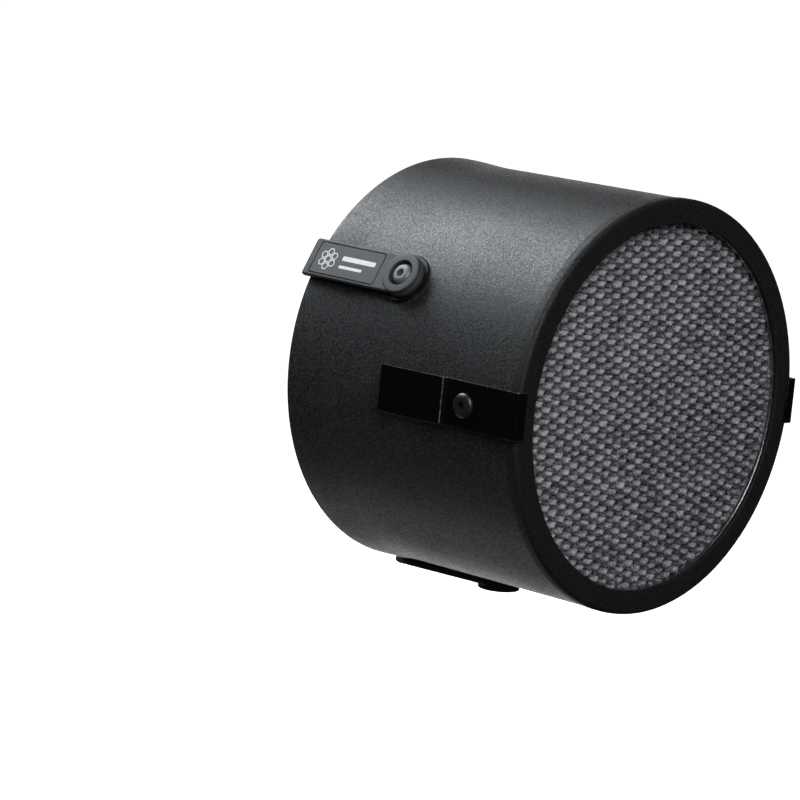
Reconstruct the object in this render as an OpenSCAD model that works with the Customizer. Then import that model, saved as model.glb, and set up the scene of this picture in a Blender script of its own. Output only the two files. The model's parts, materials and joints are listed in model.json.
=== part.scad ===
// Honeycomb-grid snoot: a sleeve that slides over a 100 mm spot barrel.
// The axis is Y. The barrel enters from +Y, light leaves towards -Y, and +Z is up.
// The origin is the centre of the mouth that the barrel enters.

/* [Barrel fit] */
// Diameter of the barrel that the sleeve slides over
barrel_d = 100; // [98:0.5:102]
// Radial gap between the barrel and the lining
barrel_gap = 0.1; // [0.06:0.02:0.4]
// How much of the barrel the lining holds
grip_len = 25; // [20:1:25]

/* [Sleeve] */
// Length from the front face to the rear rim
overall_len = 78.6; // [78:0.2:82]
// Wall of the sleeve
sleeve_wall = 1.3; // [1:0.1:1.3]
// Thickness of the grip lining
lining_t = 1; // [0.8:0.1:1]
// How much the rear rim flares outwards
flare = 0.7; // [0:0.1:0.8]
// Length of the flared stretch
flare_len = 15; // [8:1:18]

/* [Front ring] */
// Length of the ring's visible band
ring_face_len = 3.2; // [2.5:0.1:4]
// How far the ring stands proud of the sleeve
ring_proud = 0.2; // [0:0.05:0.25]
// Radius of the clear mouth
mouth_r = 46.4; // [46:0.1:46.8]
// Round on the ring's outer edge
ring_round = 1.3; // [0.6:0.1:1.6]
// Thickness of the lip over the core
lip_t = 1.2; // [1:0.1:1.5]
// Length of the skirt inside the sleeve
skirt_len = 19.4; // [17:0.2:20]

/* [Honeycomb] */
// Depth of the honeycomb along the light
core_depth = 36; // [34:1:37]
// How far the honeycomb sits behind the edge of its hoop
core_recess = 0.9; // [0.5:0.1:1]
// Distance between cells, flat to flat
cell_pitch = 8.676; // [8:0.1:12]
// Stretch of the cells sideways
cell_stretch = 1.228; // [1:0.01:1.3]
// Thickness of the cell walls
cell_wall = 0.3; // [0.3:0.1:0.8]
// Thickness of the hoop round the honeycomb
band_t = 0.6; // [0.4:0.1:0.6]

/* [Retainer] */
// Thickness of the cushion behind the hoop
cushion_t = 0.5; // [0.3:0.1:0.8]
// Thickness of the retainer's lip
retainer_lip_t = 1.6; // [1.2:0.1:2]
// How far the retainer reaches forwards over the hoop
retainer_overlap = 3.5; // [2:0.5:5]
// Thickness of the pad that the barrel stops on
stop_pad_t = 1; // [0.6:0.1:1.2]

/* [Swing tabs] */
// Distance from the front face to the pivot screws
pivot_from_front = 47.2; // [46:0.2:48]
// Width of a tab's arm
tab_w = 10.4; // [9.5:0.1:11]
// Thickness of the arm at the pivot
tab_t = 1.5; // [1.4:0.1:1.8]
// How much the arm's underside rises towards its tail
tab_rise = 0.4; // [0.4:0.1:0.8]
// How much thicker the arm is at its tail
tab_swell = 0.15; // [0:0.05:0.3]
// Radius of the round end of the arm
tab_end_r = 5.6; // [5.4:0.1:6]
// Radius of the raised boss
boss_r = 5.45; // [5:0.05:5.5]
// Height of the boss above the arm
boss_h = 1.15; // [1.1:0.05:1.4]
// How far the tail reaches past the plane of the rear rim
tail_overhang = 2; // [0.5:0.1:2.5]
// Length of the inlay plate
plate_len = 22.6; // [18:0.2:23]
// Width of the inlay plate
plate_w = 8.8; // [7:0.1:9]
// Depth of the plate's pocket
pocket_depth = 0.4; // [0.3:0.1:0.5]

/* [Clips] */
// Distance from the front face to the clip screws
clip_from_front = 16.3; // [15:0.1:17]
// Width of a clip
clip_w = 11.7; // [10:0.1:12]
// Thickness of the clip's strip
clip_t = 0.5; // [0.4:0.1:0.6]
// Distance from the front face to the clip's joggle
joggle_from_front = 22.6; // [22:0.1:24]
// Height of the joggle
joggle_h = 0.9; // [0.8:0.1:1.1]
// Distance from the front face to the end of the clip's tail
clip_tail_from_front = 43.7; // [40:0.1:44]
// How much the tail rises behind the joggle
clip_tail_rise = 0.8; // [0.8:0.1:1.2]
// How far the hook reaches inwards
hook_len = 3.2; // [2:0.1:3.4]

/* [Screws] */
// Thread diameter
thread_d = 3; // [3:0.5:3]
// Head diameter of the pivot screws
pivot_head_d = 5.6; // [5.5:0.1:5.8]
// Head height of the pivot screws
pivot_head_h = 1.6; // [1.5:0.1:1.7]
// Head diameter of the clip screws
clip_head_d = 6.2; // [5.8:0.1:6.4]
// Head height of the clip screws
clip_head_h = 1.3; // [1.2:0.1:1.6]
// Width of the hex socket across its flats
socket_af = 2; // [1.8:0.1:2.2]

/* [Hidden] */
$fn = 96;

// Angles round the axis, from +X towards +Z
left_tab_a = 150;
bottom_tab_a = 270;
right_tab_a = 30;
left_clip_a = 180;
right_clip_a = 0;
tab_angles = [left_tab_a, bottom_tab_a, right_tab_a];
clip_angles = [left_clip_a, right_clip_a];

// Radii of the tube and what fits inside it
lining_bore_r = barrel_d / 2 + barrel_gap;
sleeve_in_r = lining_bore_r + lining_t;
sleeve_r = sleeve_in_r + sleeve_wall;
seat_gap = 0.05;
insert_r = sleeve_in_r - seat_gap;
band_r = mouth_r + band_t;
band_seat_r = band_r + 0.15;
ring_r = sleeve_r + ring_proud;

// Stations along the axis
front_y = -overall_len;
sleeve_front_y = front_y + ring_face_len;
lip_back_y = front_y + lip_t;
skirt_end_y = sleeve_front_y + skirt_len;
core_front_y = lip_back_y + core_recess;
core_back_y = core_front_y + core_depth;
band_back_y = core_back_y + core_recess;
cushion_back_y = band_back_y + cushion_t;
retainer_lip_back_y = cushion_back_y + retainer_lip_t;
retainer_front_y = band_back_y - retainer_overlap;
retainer_lip_r = mouth_r - 0.4;
retainer_throat_r = 47.5;
stop_pad_back_y = -grip_len - 0.6;
retainer_back_y = stop_pad_back_y - stop_pad_t;
pivot_y = front_y + pivot_from_front;
clip_y = front_y + clip_from_front;

// Heights above the axis in a tab's stack
washer_top = sleeve_r + 0.65;
arm_under = washer_top + 0.05;
arm_top = arm_under + tab_t;
boss_top = arm_top + boss_h;
head_recess_floor = boss_top - pivot_head_h - 0.1;
bush_top = head_recess_floor + 0.1;
bush_r = 2.3;
tab_bore_r = bush_r + 0.05;
head_recess_r = 3.4;
tab_len = tail_overhang - pivot_y;
tail_edge_r = 1.4;
tail_corner_r = 1;
plate_corner_r = 0.7;
plate_back_gap = 2.8;
plate_proud = 0.05;
washer_r = 6.5;
tooth_depth = 0.3;
teeth = 44;

// Heights above the axis in a clip's stack
strip_under = sleeve_r + 0.75;
strip_top = strip_under + clip_t;
hook_gap = 0.15;
hook_end = strip_top - hook_len;
clip_hole_r = 1.9;
clip_head_seat = strip_top + 0.3;
spacer_top = strip_under - 0.15;
spacer_r = 3.4;
spacer_top_r = 1.9;
joggle_len = 1;
clip_corner_r = 0.6;
clip_bend_r = 0.6;

// Screws
thread_r = thread_d / 2;
wall_hole_r = thread_r + 0.2;
thread_gap = 0.03;
head_rim_h = 0.35;
socket_depth = 1;
thread_tip = retainer_throat_r + 0.2;

// How far cuts run past the surfaces that they open
past = 1;

// Facets of the cut that fits the washers to the sleeve
saddle_fn = 720;

// A profile of radius and station, turned about the Y axis
module turned() {
    rotate([-90, 0, 0])
        rotate_extrude()
            children();
}

// Children drawn with +X outwards, Y along the axis and Z round the axis, turned to an angle
module at_angle(a) {
    rotate([0, -a, 0])
        children();
}

// A round bar along a radius, from one height above the axis to another
module radial_bar(r, from, to) {
    translate([from, 0, 0])
        rotate([0, 90, 0])
            cylinder(r = r, h = to - from);
}

// An outline of axial and tangential distance, raised between two heights above the axis
module raised(from, to) {
    translate([from, 0, 0])
        rotate([90, 0, 90])
            linear_extrude(to - from)
                children();
}

// A side profile of height and station, given a width round the axis
module across(width) {
    translate([0, 0, -width / 2])
        linear_extrude(width)
            children();
}

// A rectangle from x = 0 to len, centred on y = 0, with round corners
module round_rect(len, width, r) {
    translate([r, -width / 2])
        square([len - 2 * r, width]);
    translate([0, r - width / 2])
        square([len, width - 2 * r]);
    for (x = [r, len - r])
        for (y = [r - width / 2, width / 2 - r])
            translate([x, y])
                circle(r = r);
}

// Points of an arc, for profiles
function arc(cx, cy, r, from, to, steps) = [
    for (i = [0:steps])
        let (a = from + (to - from) * i / steps)
            [cx + r * cos(a), cy + r * sin(a)]
];

// How far the wall has flared at a fraction of the flared stretch
function flare_at(t) = flare * t * t * (3 - 2 * t);

// The flared edge of the wall, from its straight radius to the rear rim
flare_steps = 8;
function flared_edge(r) = [
    for (i = [0:flare_steps])
        [r + flare_at(i / flare_steps), flare_len * (i / flare_steps - 1)]
];

function backwards(list) = [for (i = [len(list) - 1:-1:0]) list[i]];

// A button-head screw along a radius, with its head seated at one height and its tip at another
module button_screw(head_r, head_h, seat, tip) {
    dome_drop = head_h - head_rim_h;
    dome_r = (head_r * head_r + dome_drop * dome_drop) / (2 * dome_drop);
    dome_a = asin(head_r / dome_r);
    difference() {
        union() {
            translate([seat, 0, 0])
                rotate([0, 90, 0])
                    rotate_extrude()
                        polygon(concat(
                            [[0, 0], [head_r, 0]],
                            arc(0, head_h - dome_r, dome_r, 90 - dome_a, 90, 8)
                        ));
            radial_bar(thread_r - thread_gap, tip, seat + 0.1);
        }
        translate([seat + head_h - socket_depth, 0, 0])
            rotate([0, 90, 0])
                cylinder(r = socket_af / sqrt(3), h = socket_depth + past, $fn = 6);
    }
}

module sleeve() {
    color("#2b2c2e")
        difference() {
            turned()
                polygon(concat(
                    [[sleeve_in_r, sleeve_front_y], [sleeve_r, sleeve_front_y]],
                    flared_edge(sleeve_r),
                    backwards(flared_edge(sleeve_in_r))
                ));
            for (a = tab_angles)
                at_angle(a)
                    translate([0, pivot_y, 0])
                        radial_bar(wall_hole_r, sleeve_in_r - past, sleeve_r + past);
            for (a = clip_angles)
                at_angle(a)
                    translate([0, clip_y, 0])
                        radial_bar(wall_hole_r, sleeve_in_r - past, sleeve_r + past);
        }
}

module front_ring() {
    color("#101011")
        difference() {
            turned()
                polygon(concat(
                    [[mouth_r, front_y]],
                    arc(ring_r - ring_round, front_y + ring_round, ring_round, -90, 0, 6),
                    [
                        [ring_r, sleeve_front_y],
                        [insert_r, sleeve_front_y],
                        [insert_r, skirt_end_y],
                        [band_seat_r, skirt_end_y],
                        [band_seat_r, lip_back_y],
                        [mouth_r, lip_back_y]
                    ]
                ));
            for (a = clip_angles)
                at_angle(a)
                    translate([0, clip_y, 0])
                        radial_bar(thread_r, band_seat_r - past, insert_r + past);
        }
}

module core_band() {
    color("#b9bbc0")
        turned()
            translate([mouth_r, lip_back_y])
                square([band_t, band_back_y - lip_back_y]);
}

// One cell of the honeycomb, flat at the top and bottom
module cell() {
    half = (cell_pitch - cell_wall) / 2;
    side = half * 2 / sqrt(3) * cell_stretch;
    polygon([
        for (i = [-1, 1])
            for (p = [[side / 2, -half], [side, 0], [side / 2, half]])
                [i * p[0], i * p[1]]
    ]);
}

module honeycomb_core() {
    column = cell_pitch * sqrt(3) / 2 * cell_stretch;
    columns = ceil(mouth_r / column);
    rows = ceil(mouth_r / cell_pitch) + 1;
    rim_r = mouth_r - cell_wall;
    color("#8f9096")
        translate([0, core_back_y, 0])
            rotate([90, 0, 0])
                linear_extrude(core_depth)
                    difference() {
                        circle(r = mouth_r);
                        intersection() {
                            circle(r = rim_r);
                            union()
                                for (i = [-columns:columns])
                                    for (j = [-rows:rows])
                                        translate([i * column, (j + abs(i % 2) / 2) * cell_pitch])
                                            cell();
                        }
                    }
}

module core_cushion() {
    color("#1c1c1e")
        turned()
            translate([mouth_r, band_back_y])
                square([band_t, cushion_t]);
}

module retainer_ring() {
    color("#17181a")
        difference() {
            turned()
                polygon([
                    [band_seat_r, retainer_front_y],
                    [insert_r, retainer_front_y],
                    [insert_r, retainer_back_y],
                    [retainer_throat_r, retainer_back_y],
                    [retainer_throat_r, retainer_lip_back_y],
                    [retainer_lip_r, retainer_lip_back_y],
                    [retainer_lip_r, cushion_back_y],
                    [band_seat_r, cushion_back_y]
                ]);
            for (a = tab_angles)
                at_angle(a)
                    translate([0, pivot_y, 0])
                        radial_bar(thread_r, retainer_throat_r - past, insert_r + past);
        }
}

module stop_pad() {
    color("#232325")
        turned()
            translate([retainer_throat_r, retainer_back_y])
                square([insert_r - retainer_throat_r, stop_pad_t]);
}

module grip_lining() {
    flared_part = [for (p = flared_edge(sleeve_in_r)) if (p[1] > -grip_len) p];
    color("#1a1a1b")
        turned()
            polygon(concat(
                [[lining_bore_r, 0], [lining_bore_r, -grip_len], [sleeve_in_r, -grip_len]],
                flared_part
            ));
}

// The arm seen from its side: height above the axis at a distance behind the pivot
function arm_under_at(d) = arm_under + tab_rise * d / tab_len;
function arm_top_at(d) = arm_top + (tab_rise + tab_swell) * d / tab_len;

module arm_side_profile() {
    rounded_y = tab_len - tail_edge_r;
    polygon(concat(
        [
            [arm_under, -tab_end_r],
            [arm_top, -tab_end_r],
            [arm_top, 0],
            [arm_top_at(rounded_y), rounded_y]
        ],
        arc(arm_top_at(tab_len) - tail_edge_r, rounded_y, tail_edge_r, 15, 90, 5),
        [[arm_under_at(tab_len), tab_len], [arm_under, 0]]
    ));
}

// A strip that follows the arm's top, from one depth below it to another
module arm_top_strip(from, to) {
    polygon([
        [arm_top_at(0) - from, 0],
        [arm_top_at(tab_len) - from, tab_len],
        [arm_top_at(tab_len) - to, tab_len],
        [arm_top_at(0) - to, 0]
    ]);
}

module plate_outline(grow) {
    translate([tab_len - plate_back_gap - plate_len - grow, 0])
        round_rect(plate_len + 2 * grow, plate_w + 2 * grow, plate_corner_r);
}

module tab_arm(a) {
    color("#3a3b3e")
        at_angle(a)
            translate([0, pivot_y, 0])
                difference() {
                    union() {
                        intersection() {
                            raised(arm_under - past, boss_top) {
                                circle(r = tab_end_r);
                                round_rect(tab_len, tab_w, tail_corner_r);
                            }
                            across(2 * washer_r)
                                arm_side_profile();
                        }
                        radial_bar(boss_r, arm_under, boss_top);
                    }
                    radial_bar(head_recess_r, head_recess_floor, boss_top + past);
                    radial_bar(tab_bore_r, arm_under - past, boss_top + past);
                    intersection() {
                        raised(arm_under, boss_top + past)
                            plate_outline(0.1);
                        across(tab_w)
                            arm_top_strip(-past, pocket_depth);
                    }
                }
}

module tab_plate(a) {
    color("#303134")
        at_angle(a)
            translate([0, pivot_y, 0])
                intersection() {
                    raised(arm_under, boss_top + past)
                        plate_outline(0);
                    across(tab_w)
                        arm_top_strip(plate_proud, pocket_depth);
                }
}

module pivot_bush(a) {
    color("#9a9a9c")
        at_angle(a)
            translate([0, pivot_y, 0])
                difference() {
                    radial_bar(bush_r, sleeve_r, bush_top);
                    radial_bar(thread_r + seat_gap, sleeve_r - past, bush_top + past);
                }
}

module serrated_washer(a) {
    color("#161617")
        at_angle(a)
            difference() {
                translate([0, pivot_y, 0])
                    difference() {
                        raised(sleeve_in_r, washer_top)
                            polygon([
                                for (i = [0:2 * teeth - 1])
                                    let (r = washer_r - tooth_depth * (i % 2), b = 180 * i / teeth)
                                        [r * cos(b), r * sin(b)]
                            ]);
                        radial_bar(tab_bore_r, sleeve_in_r - past, washer_top + past);
                    }
                translate([0, pivot_y, 0])
                    rotate([90, 0, 0])
                        cylinder(r = sleeve_r, h = 4 * washer_r, center = true, $fn = saddle_fn);
            }
}

module pivot_screws() {
    color("#a5a6a8")
        for (a = tab_angles)
            at_angle(a)
                translate([0, pivot_y, 0])
                    button_screw(pivot_head_d / 2, pivot_head_h, bush_top, thread_tip);
}

// The clip seen from its side, as height and distance behind the clip screw
module clip_side_profile() {
    face = -clip_from_front - hook_gap;
    hook_front = face - clip_t;
    joggle = joggle_from_front - clip_from_front;
    tail = clip_tail_from_front - clip_from_front;
    polygon(concat(
        [[hook_end, face], [hook_end, hook_front]],
        arc(strip_top - clip_bend_r, hook_front + clip_bend_r, clip_bend_r, -90, 0, 5),
        [
            [strip_top, joggle],
            [strip_top + joggle_h, joggle + joggle_len],
            [strip_top + joggle_h + clip_tail_rise, tail],
            [strip_under + joggle_h + clip_tail_rise, tail],
            [strip_under + joggle_h, joggle + joggle_len],
            [strip_under, joggle],
            [strip_under, face]
        ]
    ));
}

module clip(a) {
    front_reach = clip_from_front + hook_gap + clip_t;
    strip_len = clip_tail_from_front + hook_gap + clip_t;
    color("#0c0c0d")
        at_angle(a)
            translate([0, clip_y, 0])
                difference() {
                    intersection() {
                        raised(hook_end - past, strip_top + 2 * clip_tail_rise + past)
                            translate([-front_reach, 0])
                                round_rect(strip_len, clip_w, clip_corner_r);
                        across(clip_w)
                            clip_side_profile();
                    }
                    radial_bar(clip_hole_r, strip_under - past, strip_top + past);
                }
}

module clip_spacer(a) {
    color("#1d1d1f")
        at_angle(a)
            translate([0, clip_y, 0])
                difference() {
                    translate([sleeve_r, 0, 0])
                        rotate([0, 90, 0])
                            cylinder(r1 = spacer_r, r2 = spacer_top_r, h = spacer_top - sleeve_r);
                    radial_bar(thread_r + seat_gap, sleeve_in_r, spacer_top + past);
                }
}

module clip_screws() {
    color("#4b4c4f")
        for (a = clip_angles)
            at_angle(a)
                translate([0, clip_y, 0])
                    button_screw(clip_head_d / 2, clip_head_h, clip_head_seat, thread_tip);
}

sleeve();
front_ring();
core_band();
honeycomb_core();
core_cushion();
retainer_ring();
stop_pad();
grip_lining();
tab_arm(left_tab_a);  // tab_left
tab_arm(bottom_tab_a);  // tab_bottom
tab_arm(right_tab_a);  // tab_right
tab_plate(left_tab_a);  // tab_left_plate
tab_plate(bottom_tab_a);  // tab_bottom_plate
tab_plate(right_tab_a);  // tab_right_plate
pivot_bush(left_tab_a);  // pivot_bush_left
pivot_bush(bottom_tab_a);  // pivot_bush_bottom
pivot_bush(right_tab_a);  // pivot_bush_right
serrated_washer(left_tab_a);  // serrated_washer_left
serrated_washer(bottom_tab_a);  // serrated_washer_bottom
serrated_washer(right_tab_a);  // serrated_washer_right
pivot_screws();
clip(left_clip_a);  // clip_left
clip(right_clip_a);  // clip_right
clip_spacer(left_clip_a);  // clip_spacer_left
clip_spacer(right_clip_a);  // clip_spacer_right
clip_screws();
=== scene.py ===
import json
import math
import random

import bmesh
import bpy
from mathutils import Matrix, Vector


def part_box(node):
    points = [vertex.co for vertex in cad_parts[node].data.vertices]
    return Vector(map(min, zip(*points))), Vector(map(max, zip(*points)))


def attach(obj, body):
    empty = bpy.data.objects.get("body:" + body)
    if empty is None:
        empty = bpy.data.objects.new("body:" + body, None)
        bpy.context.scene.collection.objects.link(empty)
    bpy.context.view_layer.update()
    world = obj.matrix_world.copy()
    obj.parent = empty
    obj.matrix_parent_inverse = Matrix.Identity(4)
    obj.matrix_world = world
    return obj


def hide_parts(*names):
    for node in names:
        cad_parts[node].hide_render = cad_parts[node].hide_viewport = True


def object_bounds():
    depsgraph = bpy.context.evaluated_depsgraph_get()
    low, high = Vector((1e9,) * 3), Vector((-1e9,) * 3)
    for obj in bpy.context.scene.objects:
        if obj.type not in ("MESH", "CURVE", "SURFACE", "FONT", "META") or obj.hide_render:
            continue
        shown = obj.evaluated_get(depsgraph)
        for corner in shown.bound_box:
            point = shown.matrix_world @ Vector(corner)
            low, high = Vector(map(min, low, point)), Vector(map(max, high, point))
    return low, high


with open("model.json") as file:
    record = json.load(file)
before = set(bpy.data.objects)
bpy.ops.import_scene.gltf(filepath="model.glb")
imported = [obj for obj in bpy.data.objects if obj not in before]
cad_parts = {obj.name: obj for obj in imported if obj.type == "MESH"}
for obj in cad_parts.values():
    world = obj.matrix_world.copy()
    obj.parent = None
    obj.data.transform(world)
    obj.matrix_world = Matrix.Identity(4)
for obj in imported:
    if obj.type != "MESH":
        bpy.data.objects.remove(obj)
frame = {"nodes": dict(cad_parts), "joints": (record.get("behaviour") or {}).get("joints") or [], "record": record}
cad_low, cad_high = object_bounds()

# Lengths are in millimetres until a mesh is made, which turns them into metres.
MM = 0.001
SEGMENTS = 256

ROOT = "sleeve_assembly"
JOINTS = frame["joints"]
MOUNTS = {m["name"]: m for m in frame["record"]["mounts"]}


def box_mm(node):
    """The two corners of a CAD node's box."""
    low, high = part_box(node)
    return low / MM, high / MM


# Sizes read from the frame
bore_r = MOUNTS["barrel_bore"]["dims"]["r_mm"]
ring_low, ring_high = box_mm("front_ring")
sleeve_low, sleeve_high = box_mm("sleeve")
core_low, core_high = box_mm("honeycomb_core")
band_low, band_high = box_mm("core_band")
lining_low, _ = box_mm("grip_lining")
retainer_low, retainer_high = box_mm("retainer_ring")
cushion_low, cushion_high = box_mm("core_cushion")
pad_low, pad_high = box_mm("stop_pad")

front_y = ring_low.y
ring_r = ring_high.x
rim_r = sleeve_high.x
mouth_r = core_high.x
band_r = band_high.x
insert_r = retainer_high.x

# Sizes of the tube and what is in it that the boxes don't give
RING_PROUD = 0.2
RING_GAP = 0.04
SLEEVE_WALL = 1.3
FLARE_LEN = 15.0
PAD_WIDTH = 3.55
RETAINER_LIP = 0.4
RETAINER_LIP_T = 1.6
LINING_BACK_GAP = 0.05
sleeve_r = ring_r - RING_PROUD
sleeve_in_r = sleeve_r - SLEEVE_WALL
band_seat_r = band_r + 0.15
flare = rim_r - sleeve_r


# ----------------------------------------------------------------- mesh helpers

# Edges that turn by more than this can be bevelled
BEVEL_OVER_DEG = 40


def rounded(outline, steps=4):
    """A closed outline of (x, y, round) with an arc at each corner that has a round."""
    points = []
    count = len(outline)
    for i in range(count):
        x, y, r = outline[i]
        here = Vector((x, y))
        if r <= 0:
            points.append(here)
            continue
        to_prev = (Vector(outline[i - 1][:2]) - here).normalized()
        to_next = (Vector(outline[(i + 1) % count][:2]) - here).normalized()
        half = to_prev.angle(to_next) / 2
        back = r / math.tan(half)
        middle = here + (to_prev + to_next).normalized() * (r / math.sin(half))
        start = here + to_prev * back - middle
        end = here + to_next * back - middle
        sweep = math.atan2(start.x * end.y - start.y * end.x, start.dot(end))
        for k in range(steps + 1):
            a = sweep * k / steps
            turned = Vector((
                start.x * math.cos(a) - start.y * math.sin(a),
                start.x * math.sin(a) + start.y * math.cos(a),
            ))
            points.append(middle + turned)
    return points


def make_object(name, mesh):
    """A mesh object, linked to the scene."""
    obj = bpy.data.objects.new(name, mesh)
    bpy.context.scene.collection.objects.link(obj)
    return obj


def from_bmesh(name, bm, place=Matrix.Identity(4), sharp_deg=35):
    """An object from a bmesh in millimetres, placed in the row frame, in metres."""
    bmesh.ops.remove_doubles(bm, verts=bm.verts, dist=1e-5)
    bmesh.ops.recalc_face_normals(bm, faces=bm.faces)
    mesh = bpy.data.meshes.new(name)
    bm.to_mesh(mesh)
    bm.free()
    mesh.transform(Matrix.Scale(MM, 4) @ place)
    mesh.shade_smooth()
    mesh.set_sharp_from_angle(angle=math.radians(sharp_deg))
    return make_object(name, mesh)


def even_normals(obj):
    """Flat faces stay flat beside small rounds."""
    mod = obj.modifiers.new("even_normals", "WEIGHTED_NORMAL")
    mod.keep_sharp = True
    mod.weight = 90


def lathe_bmesh(points, segments, axis="Y"):
    """A closed outline of (radius, height) turned about an axis, which it may touch."""
    bm = bmesh.new()

    def place(r, h, a):
        """The point at radius r, height h along the axis and angle a round it."""
        if axis == "Y":
            return r * math.cos(a), h, r * math.sin(a)
        return h, r * math.cos(a), r * math.sin(a)

    on_axis = {i: bm.verts.new(place(0, p[1], 0)) for i, p in enumerate(points) if p[0] == 0}
    rows = []
    for k in range(segments):
        a = 2 * math.pi * k / segments
        rows.append([
            on_axis[i] if i in on_axis else bm.verts.new(place(p[0], p[1], a))
            for i, p in enumerate(points)
        ])
    count = len(points)
    for k in range(segments):
        near, far = rows[k], rows[(k + 1) % segments]
        for i in range(count):
            j = (i + 1) % count
            corners = list(dict.fromkeys((near[i], near[j], far[j], far[i])))
            if len(corners) > 2:
                bm.faces.new(corners)
    return bm


def turned(name, outline):
    """A ring from an outline of (radius, y, round), turned about the object's axis."""
    obj = from_bmesh(name, lathe_bmesh(rounded(outline), SEGMENTS))
    even_normals(obj)
    return obj


def prism_bmesh(points, low, high):
    """An outline of (y, z), raised along X from low to high."""
    bm = bmesh.new()
    bottom, top = (
        [bm.verts.new((level, p[0], p[1])) for p in points] for level in (low, high)
    )
    count = len(points)
    for i in range(count):
        j = (i + 1) % count
        bm.faces.new((bottom[i], bottom[j], top[j], top[i]))
    bm.faces.new(bottom)
    bm.faces.new(top)
    bmesh.ops.recalc_face_normals(bm, faces=bm.faces)
    return bm


def bevel_sharp(bm, width, segments, where):
    """Rounds those of the sharp edges that where() picks."""
    bm.edges.ensure_lookup_table()
    limit = math.radians(BEVEL_OVER_DEG)
    picked = [
        e for e in bm.edges
        if len(e.link_faces) == 2 and e.calc_face_angle(0) > limit and where(e)
    ]
    bmesh.ops.bevel(
        bm, geom=picked, offset=width, segments=segments, profile=0.5,
        affect="EDGES", clamp_overlap=True,
    )


def cut_or_join(bm, others, how):
    """A bmesh with others cut from it or joined to it."""
    def holder(b, name):
        """A scratch object that holds a bmesh for the modifier."""
        mesh = bpy.data.meshes.new(name)
        bmesh.ops.recalc_face_normals(b, faces=b.faces)
        b.to_mesh(mesh)
        b.free()
        return make_object(name, mesh)

    main = holder(bm, "boolean_main")
    tools = [holder(other, "boolean_tool") for other in others]
    for tool in tools:
        mod = main.modifiers.new("boolean", "BOOLEAN")
        mod.operation = how
        mod.solver = "EXACT"
        mod.object = tool
    depsgraph = bpy.context.evaluated_depsgraph_get()
    result = bmesh.new()
    result.from_mesh(main.evaluated_get(depsgraph).to_mesh())
    for obj in [main, *tools]:
        mesh = obj.data
        bpy.data.objects.remove(obj)
        bpy.data.meshes.remove(mesh)
    return result


def at_station(angle, y):
    """Local X outwards, Y along the axis and Z round it."""
    c, s = math.cos(angle), math.sin(angle)
    return Matrix(((c, 0, -s, 0), (0, 1, 0, y), (s, 0, c, 0), (0, 0, 0, 1)))


def round_rect(low, high, width, r):
    """Outline points of (y, z) from y = low to high, centred on z = 0."""
    half = width / 2
    corners = [(low, -half, r), (high, -half, r), (high, half, r), (low, half, r)]
    return [(p.x, p.y) for p in rounded(corners, 5)]


# ------------------------------------------------------------------- materials

# The colour sockets of a Mix node: its two inputs and its result
MIX_A, MIX_B, MIX_RESULT = 6, 7, 2


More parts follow.
